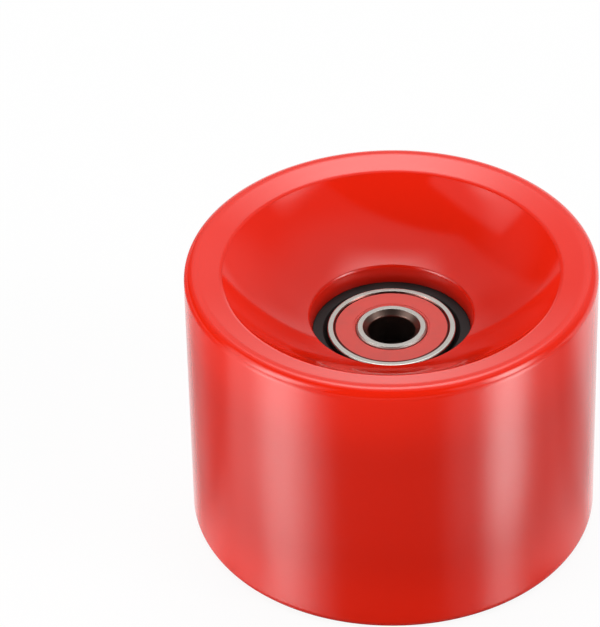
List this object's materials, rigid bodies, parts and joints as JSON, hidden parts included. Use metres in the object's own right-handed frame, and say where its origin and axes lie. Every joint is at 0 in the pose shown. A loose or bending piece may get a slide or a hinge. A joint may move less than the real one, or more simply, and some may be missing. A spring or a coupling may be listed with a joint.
{
  "type": "longboard wheel",
  "caption": "Dished polyurethane longboard wheel cast on a plastic core, with sealed ball bearings and a spacer that let it spin freely on a truck axle.",
  "frame": {"origin": "middle of the axle bore, at the centre of the wheel", "axes": "+Z along the axle, out of the upper side; the wheel lies on its side on its lower rim"},
  "size_m": [0.07, 0.07, 0.051],
  "materials": {
    "tyre": "gloss",
    "core": "satin",
    "ring_steel": "satin",
    "ball_steel": "polished",
    "cage": "satin",
    "seal": "satin",
    "plate_steel": "satin",
    "spacer": "satin"
  },
  "bodies": {
    "axle_stack": {"upper_inner_ring": "ring_steel", "lower_inner_ring": "ring_steel", "bearing_spacer": "spacer"},
    "wheel": {"tyre": "tyre", "core": "core", "upper_outer_ring": "ring_steel", "upper_outboard_seal": "seal", "upper_outboard_seal_plate": "plate_steel", "upper_inboard_seal": "seal", "upper_inboard_seal_plate": "plate_steel", "lower_outer_ring": "ring_steel", "lower_outboard_seal": "seal", "lower_outboard_seal_plate": "plate_steel", "lower_inboard_seal": "seal", "lower_inboard_seal_plate": "plate_steel"},
    "upper_cage": {"upper_cage": "cage"},
    "upper_ball_1": {"upper_ball_1": "ball_steel"},
    "upper_ball_2": {"upper_ball_2": "ball_steel"},
    "upper_ball_3": {"upper_ball_3": "ball_steel"},
    "upper_ball_4": {"upper_ball_4": "ball_steel"},
    "upper_ball_5": {"upper_ball_5": "ball_steel"},
    "upper_ball_6": {"upper_ball_6": "ball_steel"},
    "upper_ball_7": {"upper_ball_7": "ball_steel"},
    "lower_cage": {"lower_cage": "cage"},
    "lower_ball_1": {"lower_ball_1": "ball_steel"},
    "lower_ball_2": {"lower_ball_2": "ball_steel"},
    "lower_ball_3": {"lower_ball_3": "ball_steel"},
    "lower_ball_4": {"lower_ball_4": "ball_steel"},
    "lower_ball_5": {"lower_ball_5": "ball_steel"},
    "lower_ball_6": {"lower_ball_6": "ball_steel"},
    "lower_ball_7": {"lower_ball_7": "ball_steel"}
  },
  "joints": [
    {"name": "wheel_spin", "type": "hinge", "parent": "axle_stack", "child": "wheel", "pos_m": [0, 0, 0], "axis": [0, 0, 1], "continuous": true},
    {"name": "upper_cage_orbit", "type": "hinge", "parent": "axle_stack", "child": "upper_cage", "pos_m": [0, 0, 0.009], "axis": [0, 0, 1], "continuous": true},
    {"name": "upper_ball_1_roll", "type": "hinge", "parent": "upper_cage", "child": "upper_ball_1", "pos_m": [0.00468, 0.00586, 0.009], "axis": [0, 0, 1], "continuous": true},
    {"name": "upper_ball_2_roll", "type": "hinge", "parent": "upper_cage", "child": "upper_ball_2", "pos_m": [-0.00167, 0.00731, 0.009], "axis": [0, 0, 1], "continuous": true},
    {"name": "upper_ball_3_roll", "type": "hinge", "parent": "upper_cage", "child": "upper_ball_3", "pos_m": [-0.00676, 0.00325, 0.009], "axis": [0, 0, 1], "continuous": true},
    {"name": "upper_ball_4_roll", "type": "hinge", "parent": "upper_cage", "child": "upper_ball_4", "pos_m": [-0.00676, -0.00325, 0.009], "axis": [0, 0, 1], "continuous": true},
    {"name": "upper_ball_5_roll", "type": "hinge", "parent": "upper_cage", "child": "upper_ball_5", "pos_m": [-0.00167, -0.00731, 0.009], "axis": [0, 0, 1], "continuous": true},
    {"name": "upper_ball_6_roll", "type": "hinge", "parent": "upper_cage", "child": "upper_ball_6", "pos_m": [0.00468, -0.00586, 0.009], "axis": [0, 0, 1], "continuous": true},
    {"name": "upper_ball_7_roll", "type": "hinge", "parent": "upper_cage", "child": "upper_ball_7", "pos_m": [0.0075, 0, 0.009], "axis": [0, 0, 1], "continuous": true},
    {"name": "lower_cage_orbit", "type": "hinge", "parent": "axle_stack", "child": "lower_cage", "pos_m": [0, 0, -0.009], "axis": [0, 0, 1], "continuous": true},
    {"name": "lower_ball_1_roll", "type": "hinge", "parent": "lower_cage", "child": "lower_ball_1", "pos_m": [0.00468, 0.00586, -0.009], "axis": [0, 0, 1], "continuous": true},
    {"name": "lower_ball_2_roll", "type": "hinge", "parent": "lower_cage", "child": "lower_ball_2", "pos_m": [-0.00167, 0.00731, -0.009], "axis": [0, 0, 1], "continuous": true},
    {"name": "lower_ball_3_roll", "type": "hinge", "parent": "lower_cage", "child": "lower_ball_3", "pos_m": [-0.00676, 0.00325, -0.009], "axis": [0, 0, 1], "continuous": true},
    {"name": "lower_ball_4_roll", "type": "hinge", "parent": "lower_cage", "child": "lower_ball_4", "pos_m": [-0.00676, -0.00325, -0.009], "axis": [0, 0, 1], "continuous": true},
    {"name": "lower_ball_5_roll", "type": "hinge", "parent": "lower_cage", "child": "lower_ball_5", "pos_m": [-0.00167, -0.00731, -0.009], "axis": [0, 0, 1], "continuous": true},
    {"name": "lower_ball_6_roll", "type": "hinge", "parent": "lower_cage", "child": "lower_ball_6", "pos_m": [0.00468, -0.00586, -0.009], "axis": [0, 0, 1], "continuous": true},
    {"name": "lower_ball_7_roll", "type": "hinge", "parent": "lower_cage", "child": "lower_ball_7", "pos_m": [0.0075, 0, -0.009], "axis": [0, 0, 1], "continuous": true}
  ],
  "couplings": [
    {"joint": "upper_cage_orbit", "follows": "wheel_spin", "ratio": 0.6323},
    {"joint": "upper_ball_1_roll", "follows": "wheel_spin", "ratio": 1.7573},
    {"joint": "upper_ball_2_roll", "follows": "wheel_spin", "ratio": 1.7573},
    {"joint": "upper_ball_3_roll", "follows": "wheel_spin", "ratio": 1.7573},
    {"joint": "upper_ball_4_roll", "follows": "wheel_spin", "ratio": 1.7573},
    {"joint": "upper_ball_5_roll", "follows": "wheel_spin", "ratio": 1.7573},
    {"joint": "upper_ball_6_roll", "follows": "wheel_spin", "ratio": 1.7573},
    {"joint": "upper_ball_7_roll", "follows": "wheel_spin", "ratio": 1.7573},
    {"joint": "lower_cage_orbit", "follows": "wheel_spin", "ratio": 0.6323},
    {"joint": "lower_ball_1_roll", "follows": "wheel_spin", "ratio": 1.7573},
    {"joint": "lower_ball_2_roll", "follows": "wheel_spin", "ratio": 1.7573},
    {"joint": "lower_ball_3_roll", "follows": "wheel_spin", "ratio": 1.7573},
    {"joint": "lower_ball_4_roll", "follows": "wheel_spin", "ratio": 1.7573},
    {"joint": "lower_ball_5_roll", "follows": "wheel_spin", "ratio": 1.7573},
    {"joint": "lower_ball_6_roll", "follows": "wheel_spin", "ratio": 1.7573},
    {"joint": "lower_ball_7_roll", "follows": "wheel_spin", "ratio": 1.7573}
  ]
}
